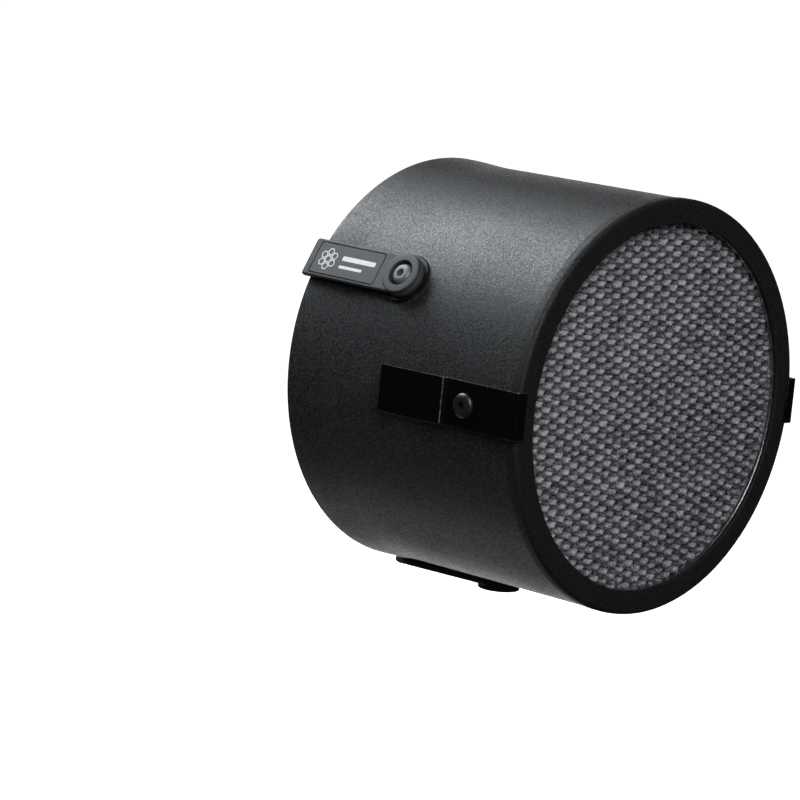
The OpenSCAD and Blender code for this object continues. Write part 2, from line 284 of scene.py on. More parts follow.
class Shader:
    """A material with one Principled shader, and short ways to add nodes to it."""

    def __init__(self, name, color, roughness, metallic=0.0, **sockets):
        self.mat = bpy.data.materials.new(name)
        self.mat.use_nodes = True
        self.mat.diffuse_color = (*color, 1)
        self.tree = self.mat.node_tree
        self.bsdf = self.tree.nodes["Principled BSDF"]
        self.bsdf.inputs["Base Color"].default_value = (*color, 1)
        self.bsdf.inputs["Roughness"].default_value = roughness
        self.bsdf.inputs["Metallic"].default_value = metallic
        for key, value in sockets.items():
            self.bsdf.inputs[key.replace("_", " ")].default_value = value
        self.coords = self.add("ShaderNodeTexCoord").outputs["Object"]

    def add(self, kind, **settings):
        node = self.tree.nodes.new(kind)
        for key, value in settings.items():
            setattr(node, key, value)
        return node

    def link(self, source, target):
        self.tree.links.new(source, target)

    def stretched(self, scale):
        """Object coordinates with a scale for each axis."""
        node = self.add("ShaderNodeMapping")
        self.link(self.coords, node.inputs["Vector"])
        node.inputs["Scale"].default_value = scale
        return node.outputs["Vector"]

    def noise(self, per_metre, detail=2.0, rough=0.5, vector=None, distortion=0.0):
        node = self.add("ShaderNodeTexNoise")
        self.link(vector or self.coords, node.inputs["Vector"])
        node.inputs["Scale"].default_value = per_metre
        node.inputs["Detail"].default_value = detail
        node.inputs["Roughness"].default_value = rough
        node.inputs["Distortion"].default_value = distortion
        return node.outputs["Fac"]

    def cells(self, per_metre):
        """A random shade for each of many small cells."""
        node = self.add("ShaderNodeTexVoronoi")
        self.link(self.coords, node.inputs["Vector"])
        node.inputs["Scale"].default_value = per_metre
        return node.outputs["Color"]

    def span(self, value, from_low, from_high, to_low, to_high):
        """One range mapped onto another, and held inside it."""
        node = self.add("ShaderNodeMapRange")
        self.link(value, node.inputs["Value"])
        node.inputs["From Min"].default_value = from_low
        node.inputs["From Max"].default_value = from_high
        node.inputs["To Min"].default_value = to_low
        node.inputs["To Max"].default_value = to_high
        return node.outputs["Result"]

    def math(self, operation, a, b):
        """a and b are numbers or sockets."""
        node = self.add("ShaderNodeMath", operation=operation)
        for socket, value in zip(node.inputs, (a, b)):
            if isinstance(value, (int, float)):
                socket.default_value = value
            else:
                self.link(value, socket)
        return node.outputs["Value"]

    def blend(self, factor, color_a, color_b):
        """color_a at factor 0 and color_b at 1; each is a colour or a socket."""
        node = self.add("ShaderNodeMix", data_type="RGBA")
        if isinstance(factor, float):
            node.inputs["Factor"].default_value = factor
        else:
            self.link(factor, node.inputs["Factor"])
        for socket, value in ((node.inputs[MIX_A], color_a), (node.inputs[MIX_B], color_b)):
            if isinstance(value, tuple):
                socket.default_value = (*value, 1)
            else:
                self.link(value, socket)
        return node.outputs[MIX_RESULT]

    def color(self, source):
        self.link(source, self.bsdf.inputs["Base Color"])

    def roughness(self, source):
        self.link(source, self.bsdf.inputs["Roughness"])

    def metallic(self, source):
        self.link(source, self.bsdf.inputs["Metallic"])

    def bump(self, *heights):
        """Each height is (source, depth in metres)."""
        normal = None
        for source, depth in heights:
            node = self.add("ShaderNodeBump")
            node.inputs["Strength"].default_value = 1.0
            node.inputs["Distance"].default_value = depth
            self.link(source, node.inputs["Height"])
            if normal is not None:
                self.link(normal, node.inputs["Normal"])
            normal = node.outputs["Normal"]
        self.link(normal, self.bsdf.inputs["Normal"])


def powder_coat(name, low, high, rough):
    """Black powder coat: a sparkling fine grain over a softer pebbled skin."""
    s = Shader(name, high, rough)
    grain = s.cells(4200)
    pebble = s.noise(2000, 2.0, 0.5)
    patch = s.noise(60, 3.0)
    s.color(s.blend(s.span(grain, 0.45, 0.8, 0, 1), low, high))
    worn = s.span(patch, 0.3, 0.7, -0.03, 0.03)
    s.roughness(s.math("ADD", worn, s.span(grain, 0.15, 0.85, rough + 0.12, rough - 0.12)))
    s.bump((pebble, 0.00006), (grain, 0.00008))
    return s.mat


def satin_black(name, color, rough):
    """Smooth black finish with faint rub marks."""
    s = Shader(name, color, rough)
    rub = s.noise(120, 4.0, 0.6)
    fine = s.noise(3000, 2.0)
    s.roughness(s.span(rub, 0.3, 0.7, rough - 0.05, rough + 0.07))
    s.bump((fine, 0.000004))
    return s.mat


def foil():
    """Dulled foil of the honeycomb: crinkled, every stretch a little different, with painted glints, and with the
    painted shade and painted light stored on the mesh.
    """
    s = Shader("foil", (0.5, 0.49, 0.55), 0.42, 0.4)
    # The mesh's tone carries random tone, painted shade and painted light.
    tone_and_painted_shading = s.add("ShaderNodeAttribute", attribute_name="tone_and_painted_shading").outputs["Fac"]
    dents = s.noise(1100, 2.0, 0.6)
    speck = s.cells(3400)
    # Painted glints: random specks are painted nearly white.
    painted_glints = s.span(speck, 0.72, 0.8, 0, 1)
    dented, specked = s.span(dents, 0.3, 0.7, 0.75, 1.25), s.span(speck, 0.2, 0.8, 0.45, 1.5)
    mottle = s.math("MULTIPLY", dented, specked)
    silver = s.blend(0.14, (0.95, 0.92, 1.0), speck)
    base = s.blend(s.math("MULTIPLY", tone_and_painted_shading, mottle), (0.015, 0.015, 0.02), silver)
    s.color(s.blend(s.math("MULTIPLY", painted_glints, tone_and_painted_shading), base, (0.97, 0.97, 1.0)))
    s.roughness(s.span(speck, 0.3, 0.8, 0.55, 0.3))
    s.bump((dents, 0.00025), (speck, 0.00004))
    return s.mat


def hoop_metal():
    """Bright rolled strip, with lines along it."""
    s = Shader("hoop_metal", (0.8, 0.8, 0.84), 0.3, 1.0)
    lines = s.noise(90, 3.0, 0.6, s.stretched((1, 30, 1)))
    s.roughness(s.span(lines, 0.3, 0.7, 0.2, 0.38))
    s.bump((lines, 0.00001))
    return s.mat


def tab_plastic():
    """Soft matte moulding with a painted sheen: lighter patches of colour where fingers touch it, a little rougher
    there.
    """
    s = Shader("tab_plastic", (0.055, 0.057, 0.061), 0.55)
    fine = s.noise(4200, 2.0)
    worn = s.noise(220, 4.0)
    # Painted sheen: patches where fingers touch the plastic are painted lighter.
    shine = s.span(worn, 0.35, 0.7, 0, 1)
    s.color(s.blend(shine, (0.048, 0.05, 0.0535), (0.062, 0.064, 0.0685)))
    s.roughness(s.span(worn, 0.3, 0.7, 0.48, 0.62))
    s.bump((fine, 0.00001))
    return s.mat


def inlay_plate():
    """Fine matte plate, a little smoother than the tab round it."""
    s = Shader("inlay_plate", (0.058, 0.06, 0.0645), 0.5)
    fine = s.noise(5200, 2.0)
    s.roughness(s.span(fine, 0.3, 0.7, 0.44, 0.56))
    s.bump((fine, 0.000006))
    return s.mat


def mark_print():
    """White ink on the inlay plate, a little uneven."""
    s = Shader("mark_print", (0.8, 0.8, 0.79), 0.55)
    patch = s.noise(900, 3.0, 0.6)
    s.color(s.blend(s.span(patch, 0.3, 0.7, 0, 1), (0.84, 0.84, 0.83), (0.95, 0.95, 0.94)))
    s.roughness(s.span(patch, 0.3, 0.7, 0.5, 0.62))
    s.bump((patch, 0.000008))
    return s.mat


def rubber(name, shade):
    """Matte black rubber or soft moulding."""
    s = Shader(name, (shade, shade, shade * 1.04), 0.75)
    fine = s.noise(2600, 3.0)
    s.roughness(s.span(fine, 0.3, 0.7, 0.68, 0.82))
    s.bump((fine, 0.00002))
    return s.mat


def felt():
    """Black felt with short fibres."""
    s = Shader("cushion_felt", (0.02, 0.02, 0.021), 0.9, Sheen_Weight=0.3)
    fibres = s.noise(4000, 5.0, 0.7, distortion=1.5)
    s.color(s.blend(fibres, (0.012, 0.012, 0.013), (0.035, 0.035, 0.037)))
    s.bump((fibres, 0.0001))
    return s.mat


def machined(name, color, rough, metallic=1.0):
    """Turned metal with small scratches, dulled where it isn't fully metallic."""
    s = Shader(name, color, rough, metallic)
    scratch = s.noise(700, 4.0, 0.7, distortion=0.6)
    s.roughness(s.span(scratch, 0.3, 0.7, rough - 0.08, rough + 0.12))
    s.bump((scratch, 0.000006))
    return s.mat


def clip_paint():
    """Smooth black paint that is rubbed through to the steel along its edges."""
    s = Shader("clip_steel", (0.003, 0.003, 0.0034), 0.3, Specular_IOR_Level=0.15)
    wear = s.add("ShaderNodeAttribute", attribute_name="wear").outputs["Fac"]
    broken = s.noise(800, 3.0, 0.65)
    bare = s.span(s.math("ADD", wear, broken), 1.4, 1.52, 0, 1)
    thin = s.span(s.math("ADD", wear, broken), 0.8, 1.2, 0, 1)
    paint = s.blend(thin, (0.003, 0.003, 0.0034), (0.05, 0.048, 0.046))
    s.color(s.blend(bare, paint, (0.6, 0.59, 0.56)))
    s.metallic(bare)
    smear = s.noise(150, 4.0)
    s.roughness(s.span(smear, 0.3, 0.7, 0.24, 0.36))
    return s.mat


MATS = {
    "powder_coat": powder_coat(
        "powder_coat", (0.002, 0.0021, 0.0024), (0.06, 0.062, 0.066), 0.45
    ),
    "ring_paint": powder_coat(
        "ring_paint", (0.002, 0.002, 0.0022), (0.022, 0.022, 0.024), 0.6
    ),
    "hoop_metal": hoop_metal(),
    "foil": foil(),
    "cushion_felt": felt(),
    "retainer_metal": satin_black("retainer_metal", (0.012, 0.012, 0.013), 0.5),
    "pad_rubber": rubber("pad_rubber", 0.03),
    "lining_rubber": rubber("lining_rubber", 0.022),
    "tab_plastic": tab_plastic(),
    "inlay_plate": inlay_plate(),
    "bush_steel": machined("bush_steel", (0.5, 0.5, 0.51), 0.35),
    "washer_steel": machined("washer_steel", (0.06, 0.06, 0.062), 0.45),
    "bright_screw": machined("bright_screw", (0.2, 0.2, 0.206), 0.48, 0.45),
    "clip_steel": clip_paint(),
    "spacer_plastic": rubber("spacer_plastic", 0.03),
    "black_screw": machined("black_screw", (0.07, 0.07, 0.073), 0.34, 0.8),
}

MARK_PRINT = mark_print()


def dress(obj, slot_name, body, *nodes):
    """Gives a piece the material of its slot and its body, and hides the CAD nodes that it stands for."""
    obj.data.materials.clear()
    obj.data.materials.append(MATS[slot_name])
    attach(obj, body)
    if nodes:
        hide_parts(*nodes)


# --------------------------------------------------------------- tube and ring

def flare_at(t):
    """How far the tube has widened, for t from 0 at the flare's start to 1 at the rim."""
    return flare * t * t * (3 - 2 * t)


def make_sleeve():
    """The tube, with a slight smooth flare at its rear rim."""
    edge_round = 0.25
    steps = 24
    front = sleeve_low.y
    outline = [(sleeve_in_r, front, 0.15), (sleeve_r, front, 0.15)]
    for i in range(steps):
        t = i / steps
        outline.append((sleeve_r + flare_at(t), FLARE_LEN * (t - 1), 0))
    outline.append((rim_r, 0, edge_round))
    outline.append((rim_r - SLEEVE_WALL, 0, edge_round))
    for i in range(steps - 1, -1, -1):
        t = i / steps
        outline.append((sleeve_in_r + flare_at(t), FLARE_LEN * (t - 1), 0))
    dress(turned("sleeve_shell", outline), "powder_coat", ROOT, "sleeve")


def make_front_ring():
    """The ring over the front of the sleeve, with a lip before the hoop and a skirt inside."""
    lip_back = band_low.y
    outline = [
        (mouth_r, front_y, 0.25),
        (ring_r, front_y, 1.3),
        (ring_r, sleeve_low.y - RING_GAP, 0.15),
        (insert_r, sleeve_low.y - RING_GAP, 0),
        (insert_r, ring_high.y, 0.4),
        (band_seat_r, ring_high.y, 0.4),
        (band_seat_r, lip_back, 0),
        (mouth_r, lip_back, 0.15),
    ]
    dress(turned("front_ring_body", outline), "ring_paint", ROOT, "front_ring")


def make_band():
    """The bright hoop round the honeycomb."""
    outline = [
        (mouth_r, band_low.y, 0.1),
        (band_r, band_low.y, 0.1),
        (band_r, band_high.y, 0.1),
        (mouth_r, band_high.y, 0.1),
    ]
    dress(turned("hoop", outline), "hoop_metal", ROOT, "core_band")


def make_cushion():
    """The felt ring behind the hoop."""
    outline = [
        (mouth_r, cushion_low.y, 0.1),
        (band_r, cushion_low.y, 0.1),
        (band_r, cushion_high.y, 0.1),
        (mouth_r, cushion_high.y, 0.1),
    ]
    dress(turned("felt_cushion", outline), "cushion_felt", ROOT, "core_cushion")


def make_retainer():
    """The ring that holds the core from behind with a narrow lip."""
    lip_r = mouth_r - RETAINER_LIP
    throat_r = pad_high.x - PAD_WIDTH
    lip_front = cushion_high.y
    lip_back = lip_front + RETAINER_LIP_T
    outline = [
        (band_seat_r, retainer_low.y, 0.3),
        (insert_r, retainer_low.y, 0.3),
        (insert_r, retainer_high.y, 0.2),
        (throat_r, retainer_high.y, 0.2),
        (throat_r, lip_back, 0.3),
        (lip_r, lip_back, 0.3),
        (lip_r, lip_front, 0),
        (band_seat_r, lip_front, 0),
    ]
    dress(turned("retainer", outline), "retainer_metal", ROOT, "retainer_ring")


def make_stop_pad():
    """The pad that the barrel's rim lands on."""
    inner = pad_high.x - PAD_WIDTH
    outline = [
        (inner, pad_low.y, 0.1),
        (pad_high.x, pad_low.y, 0.1),
        (pad_high.x, pad_high.y, 0.3),
        (inner, pad_high.y, 0.3),
    ]
    dress(turned("stop_pad_ring", outline), "pad_rubber", ROOT, "stop_pad")


def make_lining():
    """A rubber lining with shallow grooves between its ribs and a lead-in at its mouth."""
    rib, groove, depth = 1.6, 0.5, 0.35
    lead_in = 0.8
    outline = [(bore_r, lining_low.y, 0.2)]
    y = lining_low.y + rib
    while y + groove < -lead_in - rib:
        outline += [
            (bore_r, y, 0.12), (bore_r + depth, y, 0.1),
            (bore_r + depth, y + groove, 0.1), (bore_r, y + groove, 0.12),
        ]
        y += rib + groove
    outline += [(bore_r, -lead_in, 0.1), (bore_r + 0.5, -LINING_BACK_GAP, 0.1)]
    steps = 12
    for i in range(steps, 0, -1):
        t = i / steps
        back_gap = LINING_BACK_GAP if i == steps else 0
        outline.append((sleeve_in_r + flare_at(t), FLARE_LEN * (t - 1) - back_gap, 0))
    outline.append((sleeve_in_r, lining_low.y, 0))
    dress(turned("ribbed_lining", outline), "lining_rubber", ROOT, "grip_lining")


# -------------------------------------------------------------------- honeycomb

SEED = 11
CELL_PITCH = 2.892
CELL_STRETCH = 1.228
WALL_T = 0.0715
RIM_GAP = 0.02
# A cell is left out if its centre is further outside the mouth than this part of the pitch
PART_CELL = 0.35
# The two walls of a cell that run along the rows, counted from its first corner
FLAT_WALLS = (1, 4)
# How far each corner is out of place, and how far its wall leans further in
NODE_JITTER = 0.15
LEAN_JITTER = NODE_JITTER * 0.7
# How far the cut edge is set back, and the ends of a draw that adds to it where above 0
EDGE_SETBACK = 0.02
EDGE_DIP = (-0.12, 0.05)
# Mean and spread of a wall's bow across and along the rows, and of its brightness
BOW_X, BOW_Z, WALL_SHINE = (-0.14, 0.09), (0, 0.06), (1, 0.14)
# A cell's size changes by BELLY at half of BELLY_DEPTH, and it leans in full from LEAN_DEPTH
BELLY, BELLY_DEPTH = -0.05, 3.4
LEAN_DEPTH = 6
# Brightness of the cut edge; painted shade and dark glue in the folds; a random brightness for each cell; and
# painted light, brighter towards the left and the top of the mouth
CUT_EDGE_TONE = 0.12
FOLD_GLUE_AND_SHADE = 0.18
CELL_SHINE = (1.0, 0.12)
LIGHT_ACROSS, LIGHT_UP = 0.25, 0.15
TONE_NOISE, TONE_LEAST = 0.05, 0.05
# Depth below the mouth and the painted shade there: darker deep in the cells, where shade falls, and darker at the
# mouth too
CELL_DEPTHS_AND_SHADE = ((0.0, 0.45), (0.35, 0.8), (0.9, 1.0), (1.7, 1.0), (3.0, 0.75), (6.0, 0.4))
# Points along a slanted wall and its painted shading there, lighter mid-wall and darker towards the folds; folds
# and flat walls carry painted shade and dark glue
WALL_SHADING_STOPS = ((0.22, 0.85), (0.5, 1.0), (0.78, 0.85))


def make_honeycomb():
    """Expanded foil cells at their real pitch, each corner a little out of place."""
    column = CELL_PITCH * math.sqrt(3) / 2 * CELL_STRETCH
    side = CELL_PITCH / math.sqrt(3) * CELL_STRETCH
    half = CELL_PITCH / 2
    limit = mouth_r - RIM_GAP
    front, back = core_low.y, core_high.y
    rng = random.Random(SEED)
    corner_moves, wall_bows, shared, edges_used = {}, {}, {}, {}
    bm = bmesh.new()
    tone_and_painted_shading = bm.verts.layers.float.new("tone_and_painted_shading")

    def corner(x, z):
        """Key, place, dip and lean of a corner that up to three cells share."""
        key = (round(x / (column / 3)), round(z / half))
        if key not in corner_moves:
            corner_moves[key] = (
                rng.gauss(0, NODE_JITTER),
                rng.gauss(0, NODE_JITTER),
                max(rng.uniform(*EDGE_DIP), 0),
                rng.gauss(0, LEAN_JITTER),
                rng.gauss(0, LEAN_JITTER),
            )
        dx, dz, dy, bx, bz = corner_moves[key]
        return key, (x + dx, z + dz, dy, bx, bz)

    def outline_of(corners):
        """Key, place and painted shading of each point round a cell, slanted walls bowed."""
        points = []
        for k in range(6):
            key, a = corners[k]
            next_key, b = corners[(k + 1) % 6]
            # Painted shade, with some dark glue: each fold is dark, and a flat wall, which has no points between
            # its folds, is dark all over.
            points.append((key, a, FOLD_GLUE_AND_SHADE))
            if k in FLAT_WALLS:
                continue
            pair = frozenset((key, next_key))
            if pair not in wall_bows:
                wall_bows[pair] = (
                    rng.gauss(*BOW_X), rng.gauss(*BOW_Z), rng.gauss(*WALL_SHINE)
                )
            bow_x, bow_z, shine = wall_bows[pair]
            # Painted shading: each slanted wall is painted lighter in its middle, darker towards its folds.
            for n, (t, painted_shading) in enumerate(WALL_SHADING_STOPS):
                x, z, dy, bx, bz = (a[i] * (1 - t) + b[i] * t for i in range(5))
                bow = 4 * t * (1 - t)
                stop = n if key < next_key else len(WALL_SHADING_STOPS) - 1 - n
                moved = (x + bow_x * bow, z + bow_z * bow, dy, bx, bz)
                points.append(((pair, stop), moved, painted_shading * shine))
        return points

    def held(x, z):
        """The nearest place inside the mouth."""
        r = math.hypot(x, z)
        if r <= limit:
            return x, z
        return x * limit / r, z * limit / r

    def outer_vert(key, x, z, y, level):
        """The vertex in the middle of a wall that neighbouring cells share."""
        if (key, level) not in shared:
            shared[(key, level)] = bm.verts.new((x, y, z))
            shared[(key, level)][tone_and_painted_shading] = CUT_EDGE_TONE
        return shared[(key, level)]

    columns = math.ceil(mouth_r / column)
    rows = math.ceil(mouth_r / CELL_PITCH) + 1
    keep = 1 - WALL_T / CELL_PITCH
    shape = [
        (side, 0), (side / 2, half), (-side / 2, half),
        (-side, 0), (-side / 2, -half), (side / 2, -half),
    ]
    for i in range(-columns, columns + 1):
        for j in range(-rows, rows + 1):
            cx = i * column
            cz = (j + abs(i % 2) / 2) * CELL_PITCH
            if math.hypot(cx, cz) > mouth_r + PART_CELL * CELL_PITCH:
                continue
            points = outline_of([corner(cx + dx, cz + dz) for dx, dz in shape])
            outer = [held(p[1][0], p[1][1]) for p in points]
            count = len(points)
            mid_x = sum(p[0] for p in outer) / count
            mid_z = sum(p[1] for p in outer) / count
            # Painted light: cells towards the left and the top of the mouth are painted brighter.
            painted_light_across = 1 - (LIGHT_ACROSS * mid_x - LIGHT_UP * mid_z) / mouth_r
            cell_tone_and_light = rng.gauss(*CELL_SHINE) * painted_light_across
            front_loop = []
            inner_rings = [[] for _ in CELL_DEPTHS_AND_SHADE]
            for (key, (_, _, dip, bx, bz), painted_shading), (x, z) in zip(points, outer):
                edge_y = front + dip + EDGE_SETBACK
                front_loop.append(outer_vert(key, x, z, edge_y, "front"))
                # Painted shade: the foil is painted darker deeper in each cell.
                for ring, (depth, depth_shade) in zip(inner_rings, CELL_DEPTHS_AND_SHADE):
                    bend = min(depth / LEAN_DEPTH, 1)
                    ix, iz = held(x + bx * bend, z + bz * bend)
                    belly = keep + BELLY * math.sin(math.pi * min(depth / BELLY_DEPTH, 1))
                    vert = bm.verts.new((
                        mid_x + (ix - mid_x) * belly,
                        front + (dip + EDGE_SETBACK if depth == 0 else depth),
                        mid_z + (iz - mid_z) * belly,
                    ))
                    # Random tone of the cell times the painted light across the mouth, the painted shading along
                    # the wall and the painted shade with depth, plus noise.
                    shade = cell_tone_and_light * painted_shading * depth_shade + rng.gauss(0, TONE_NOISE)
                    vert[tone_and_painted_shading] = max(shade, TONE_LEAST)
                    ring.append(vert)
            back_ring = [bm.verts.new((v.co.x, back, v.co.z)) for v in inner_rings[-1]]
            back_loop = [
                outer_vert(p[0], x, z, back, "back") for p, (x, z) in zip(points, outer)
            ]
            stack = [front_loop, *inner_rings, back_ring, back_loop]
            for upper, lower in zip(stack, stack[1:]):
                for k in range(count):
                    m = (k + 1) % count
                    bm.faces.new((upper[k], upper[m], lower[m], lower[k]))
            for k in range(count):
                m = (k + 1) % count
                pair = frozenset((points[k][0], points[m][0]))
                edges_used.setdefault(pair, []).append(
                    (front_loop[k], front_loop[m], back_loop[m], back_loop[k])
                )
    for quads in edges_used.values():
        if len(quads) == 1:
            bm.faces.new(quads[0])
    obj = from_bmesh("honeycomb_foil", bm, sharp_deg=25)
    dress(obj, "foil", ROOT, "honeycomb_core")


# ------------------------------------------------------------------- fastenings

SHANK_R, SHANK_IN = 1.47, 3.3
HEAD_RIM, CROWN_FLAT_R, HEAD_CHAMFER = 0.35, 1.5, 0.12
SOCKET_FLATS, SOCKET_DEPTH, SOCKET_TURN = 2.0, 1.7, 0.2


def button_head(head_r, height, seat, angle, y):
    """A button-head screw along a radius, with a hex socket in a flat on its crown."""
    tip = insert_r - SHANK_IN
    points = [
        (0, tip), (SHANK_R - 0.3, tip), (SHANK_R, tip + 0.3),
        (SHANK_R, seat), (head_r - HEAD_CHAMFER, seat), (head_r, seat + HEAD_CHAMFER),
    ]
    steps = 16
    for k in range(steps + 1):
        a = math.pi / 2 * k / steps
        points.append((
            CROWN_FLAT_R + (head_r - CROWN_FLAT_R) * math.cos(a),
            seat + HEAD_RIM + (height - HEAD_RIM) * math.sin(a),
        ))
    points.append((0, seat + height))
    body = lathe_bmesh(points, 96, axis="X")
    top = seat + height
    corner_r = SOCKET_FLATS / math.sqrt(3)
    hexagon = []
    for k in range(6):
        a = math.pi / 3 * k + SOCKET_TURN
        hexagon.append((corner_r * math.cos(a), corner_r * math.sin(a)))
    hole = prism_bmesh(hexagon, top - SOCKET_DEPTH, top + 1)
    bm = cut_or_join(body, [hole], "DIFFERENCE")
    return from_bmesh("head", bm, at_station(angle, y), sharp_deg=40)


def joined(name, parts):
    """One object from several, with their meshes together."""
    bm = bmesh.new()
    for part in parts:
        mesh = part.data
        bm.from_mesh(mesh)
        bpy.data.objects.remove(part)
        bpy.data.meshes.remove(mesh)
    mesh = bpy.data.meshes.new(name)
    bm.to_mesh(mesh)
    bm.free()
    obj = make_object(name, mesh)
    even_normals(obj)
    return obj


# ------------------------------------------------------------------------- tabs

TAB_W = 10.4
TAB_END_R = 5.6
BOSS_R = 5.45
BOSS_H = 1.15
PIVOT_HEAD_R = 2.8
PIVOT_HEAD_H = 1.6
PIVOT_BORE_R = 2.35
HEAD_RECESS_R = 3.4
HEAD_RECESS_DEPTH = PIVOT_HEAD_H + 0.1
TAB_T = 1.5
ARM_UNDER = sleeve_r + 0.7
ARM_TOP = ARM_UNDER + TAB_T
BOSS_TOP = ARM_TOP + BOSS_H
TAB_RISE = 0.4
TAB_SWELL = 0.15
TAIL_OVERHANG = 2.0
TAIL_ROUND = 2.0
TAIL_DROP = 0.75
PLATE_LEN = 22.6
PLATE_W = 8.8
PLATE_BACK_GAP = 2.8
PLATE_GAP = 0.15
POCKET_DEPTH, POCKET_ROUND = 0.4, 0.8


def tab_stations():
    """Name, angle, pivot y and body of each tab."""
    for j in JOINTS:
        if j["name"].endswith("_tab_swivel"):
            x, _, z = j["axis"]
            y = j["pos_m"][1]
            yield j["child"].removesuffix("_tab"), math.atan2(z, x), y / MM, j["child"]


def lean(bm, length):
    """Tilts an arm drawn level, so that it rises towards its tail, whose top it rounds."""
    for v in bm.verts:
        t = max(v.co.y, 0) / length
        top = (v.co.x - ARM_UNDER) / TAB_T
        near_tail = max(v.co.y - length + TAIL_ROUND, 0) / TAIL_ROUND
        v.co.x += t * (TAB_RISE + TAB_SWELL * top) - TAIL_DROP * top * near_tail ** 2


def arm_outline(length, grow=0.0):
    """The arm from above: a round end at the pivot and a square tail."""
    half = TAB_W / 2 + grow
    end_r = TAB_END_R + grow
    join_a = math.asin(half / end_r)
    steps = 40
    points = []
    for k in range(steps + 1):
        a = join_a + (2 * math.pi - 2 * join_a) * k / steps
        points.append((end_r * math.cos(a), end_r * math.sin(a)))
    tail = rounded(
        [(length, -half, 1.0), (length, half, 1.0), (0, half, 0), (0, -half, 0)], 6
    )
    points += [(p.x, p.y) for p in tail[:-2]]
    return points


def make_arm(length):
    """A tab's arm in its station's frame, with rounded edges and a tail that drops."""
    arm = prism_bmesh(arm_outline(length), ARM_UNDER, ARM_TOP)
    bevel_sharp(arm, 0.45, 4, lambda e: all(v.co.x > ARM_TOP - 0.01 for v in e.verts))
    bevel_sharp(arm, 0.25, 2, lambda e: all(v.co.x < ARM_UNDER + 0.01 for v in e.verts))
    slices = 8
    for k in range(slices):
        cut_y = length - TAIL_ROUND * (1 - k / slices)
        everything = arm.verts[:] + arm.edges[:] + arm.faces[:]
        bmesh.ops.bisect_plane(
            arm, geom=everything, plane_co=(0, cut_y, 0), plane_no=(0, 1, 0)
        )
    bmesh.ops.triangulate(arm, faces=[f for f in arm.faces if len(f.verts) > 4])
    lean(arm, length)
    return arm


def make_tab(name, angle, y, body):
    """A swing tab with its boss, screw recess and pocket, and the inlay plate in the pocket."""
    length = TAIL_OVERHANG - y
    place = at_station(angle, y)
    boss = lathe_bmesh(
        rounded([
            (0, ARM_UNDER + 0.2, 0), (BOSS_R, ARM_UNDER + 0.2, 0),
            (BOSS_R, BOSS_TOP, 0.35), (0, BOSS_TOP, 0),
        ], 5),
        128, axis="X",
    )
    whole = cut_or_join(make_arm(length), [boss], "UNION")
    bore = lathe_bmesh(
        [
            (0, ARM_UNDER - 1), (PIVOT_BORE_R, ARM_UNDER - 1),
            (PIVOT_BORE_R, BOSS_TOP + 1), (0, BOSS_TOP + 1),
        ],
        64, axis="X",
    )
    floor = BOSS_TOP - HEAD_RECESS_DEPTH
    recess = lathe_bmesh(
        [
            (0, floor), (HEAD_RECESS_R, floor), (HEAD_RECESS_R, BOSS_TOP - 0.2),
            (HEAD_RECESS_R + 0.25, BOSS_TOP + 0.05), (0, BOSS_TOP + 0.05),
        ],
        128, axis="X",
    )
    high = length - PLATE_BACK_GAP
    pocket = prism_bmesh(
        round_rect(high - PLATE_LEN - 0.1, high + 0.1, PLATE_W + 0.2, POCKET_ROUND),
        ARM_TOP - POCKET_DEPTH, ARM_TOP + 1,
    )
    lean(pocket, length)
    whole = cut_or_join(whole, [bore, recess, pocket], "DIFFERENCE")
    obj = from_bmesh(f"tab_{name}_arm", whole, place, sharp_deg=32)
    even_normals(obj)
    dress(obj, "tab_plastic", body, f"tab_{name}")

    plate_low, plate_high = high - PLATE_LEN + PLATE_GAP, high - PLATE_GAP
    plate = prism_bmesh(
        round_rect(plate_low, plate_high, PLATE_W - 2 * PLATE_GAP, POCKET_ROUND - 0.2),
        ARM_TOP - POCKET_DEPTH, ARM_TOP + 0.02,
    )
    bevel_sharp(plate, 0.12, 2, lambda e: all(v.co.x > ARM_TOP for v in e.verts))
    lean(plate, length)
    cover = from_bmesh(f"tab_{name}_inlay", plate, place, sharp_deg=32)
    even_normals(cover)
    dress(cover, "inlay_plate", body, f"tab_{name}_plate")
    make_mark(name, place, plate_high, length, body)


def ring_prism(bm, outer, inner, low, high):
    """A flat ring between two outlines of (y, z) with the same number of points."""
    loops = [[bm.verts.new((x, p[0], p[1])) for p in line] for x, line in (
        (low, outer), (high, outer), (high, inner), (low, inner),
    )]
    count = len(outer)
    for near, far in zip(loops, loops[1:] + loops[:1]):
        for k in range(count):
            m = (k + 1) % count
            bm.faces.new((near[k], near[m], far[m], far[k]))


MARK_CELL_R, MARK_LINE_W, MARK_CELL_GAP = 1.08, 0.27, 0.16
MARK_FROM_TAIL, MARK_TO_BARS = 4.4, 4.6
# Each bar's place across the plate, length and width
MARK_BARS = ((-0.9, 11.5, 1.3), (1.5, 8.0, 0.8))


